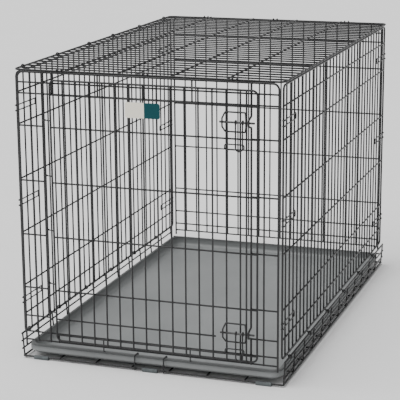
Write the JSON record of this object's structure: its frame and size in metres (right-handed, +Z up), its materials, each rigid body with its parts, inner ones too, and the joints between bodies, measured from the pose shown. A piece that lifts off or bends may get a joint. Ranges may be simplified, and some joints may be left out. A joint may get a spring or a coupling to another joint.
{
  "type": "folding wire dog crate",
  "caption": "Folding wire pet crate with a hinged front door, two bolt latches, a slide-out floor pan and panels that fold flat.",
  "frame": {"origin": "centre of the footprint, on the floor under the feet", "axes": "+X to the crate's right seen from the door end, +Y from the door end to the far end, +Z up"},
  "size_m": [0.78, 1.261, 0.8265],
  "materials": {
    "coated_wire": "satin black coat over steel wire",
    "pan_plastic": "fine-textured mid-grey moulded plastic",
    "rubber_feet": "matt dark grey rubber",
    "label_plastic": "two-tone printed plate, without lettering"
  },
  "bodies": {
    "base": {"base_floor_grid": "coated_wire", "base_wall_right": "coated_wire", "base_wall_left": "coated_wire", "base_rim_right": "coated_wire", "base_rim_left": "coated_wire", "base_rear_lip": "coated_wire", "feet_front": "rubber_feet", "feet_rear": "rubber_feet"},
    "side_left": {"side_left_grille": "coated_wire", "side_left_hinge_eyes": "coated_wire", "side_left_corner_hooks": "coated_wire", "side_left_top_eyes": "coated_wire"},
    "side_right": {"side_right_grille": "coated_wire", "side_right_hinge_eyes": "coated_wire", "side_right_corner_hooks": "coated_wire"},
    "top": {"top_grille": "coated_wire"},
    "front_panel": {"front_strip_left": "coated_wire", "front_strip_right": "coated_wire", "front_header": "coated_wire", "front_sill": "coated_wire", "front_hold_downs": "coated_wire", "front_hinge_wire": "coated_wire", "front_strike_wire": "coated_wire", "front_hanger_eyes": "coated_wire"},
    "rear_panel": {"rear_grille": "coated_wire", "rear_hanger_eyes": "coated_wire"},
    "door": {"door_grille": "coated_wire", "door_hinge_loops": "coated_wire", "door_label_plate": "label_plastic", "latch_guide_upper": "coated_wire", "latch_guide_lower": "coated_wire", "latch_keeper_upper": "coated_wire", "latch_keeper_lower": "coated_wire"},
    "bolt_upper": {"latch_bolt_upper": "coated_wire"},
    "bolt_lower": {"latch_bolt_lower": "coated_wire"},
    "handle_upper": {"latch_handle_upper": "coated_wire"},
    "handle_lower": {"latch_handle_lower": "coated_wire"},
    "pan": {"pan": "pan_plastic"},
    "pan_clip": {"pan_clip": "coated_wire"}
  },
  "joints": [
    {"name": "side_left_fold", "type": "hinge", "parent": "base", "child": "side_left", "pos_m": [-0.3835, 0.01238, 0.071], "axis": [0, 1, 0], "range_deg": [0, 88.5]},
    {"name": "side_right_fold", "type": "hinge", "parent": "base", "child": "side_right", "pos_m": [0.3835, 0.01238, 0.071], "axis": [0, -1, 0], "range_deg": [0, 91]},
    {"name": "top_open", "type": "hinge", "parent": "side_left", "child": "top", "pos_m": [-0.37825, 0.01238, 0.82], "axis": [0, -1, 0], "range_deg": [0, 262]},
    {"name": "front_fold", "type": "hinge", "parent": "top", "child": "front_panel", "pos_m": [0, -0.59437, 0.82], "axis": [1, 0, 0], "range_deg": [0, 88]},
    {"name": "rear_fold", "type": "hinge", "parent": "top", "child": "rear_panel", "pos_m": [0, 0.61913, 0.82], "axis": [-1, 0, 0], "range_deg": [0, 90]},
    {"name": "door_open", "type": "hinge", "parent": "front_panel", "child": "door", "pos_m": [-0.2898, -0.60342, 0.43], "axis": [0, 0, -1], "range_deg": [0, 150]},
    {"name": "bolt_upper_slide", "type": "slide", "parent": "door", "child": "bolt_upper", "axis": [-1, 0, 0], "range_m": [0, 0.022]},
    {"name": "bolt_lower_slide", "type": "slide", "parent": "door", "child": "bolt_lower", "axis": [-1, 0, 0], "range_m": [0, 0.022]},
    {"name": "handle_upper_lift", "type": "hinge", "parent": "bolt_upper", "child": "handle_upper", "pos_m": [0.2655, -0.62123, 0.715], "axis": [-1, 0, 0], "range_deg": [0, 100]},
    {"name": "handle_lower_lift", "type": "hinge", "parent": "bolt_lower", "child": "handle_lower", "pos_m": [0.2655, -0.62123, 0.147], "axis": [-1, 0, 0], "range_deg": [0, 100]},
    {"name": "pan_slide", "type": "slide", "parent": "base", "child": "pan", "axis": [0, -1, 0], "range_m": [0, 1.2]},
    {"name": "pan_clip_lift", "type": "hinge", "parent": "pan", "child": "pan_clip", "pos_m": [0, -0.57363, 0.033], "axis": [-1, 0, 0], "range_deg": [0, 70]}
  ],
  "couplings": [
    {"joint": "side_left_fold", "follows": "top_open", "ratio": 0.337}
  ]
}
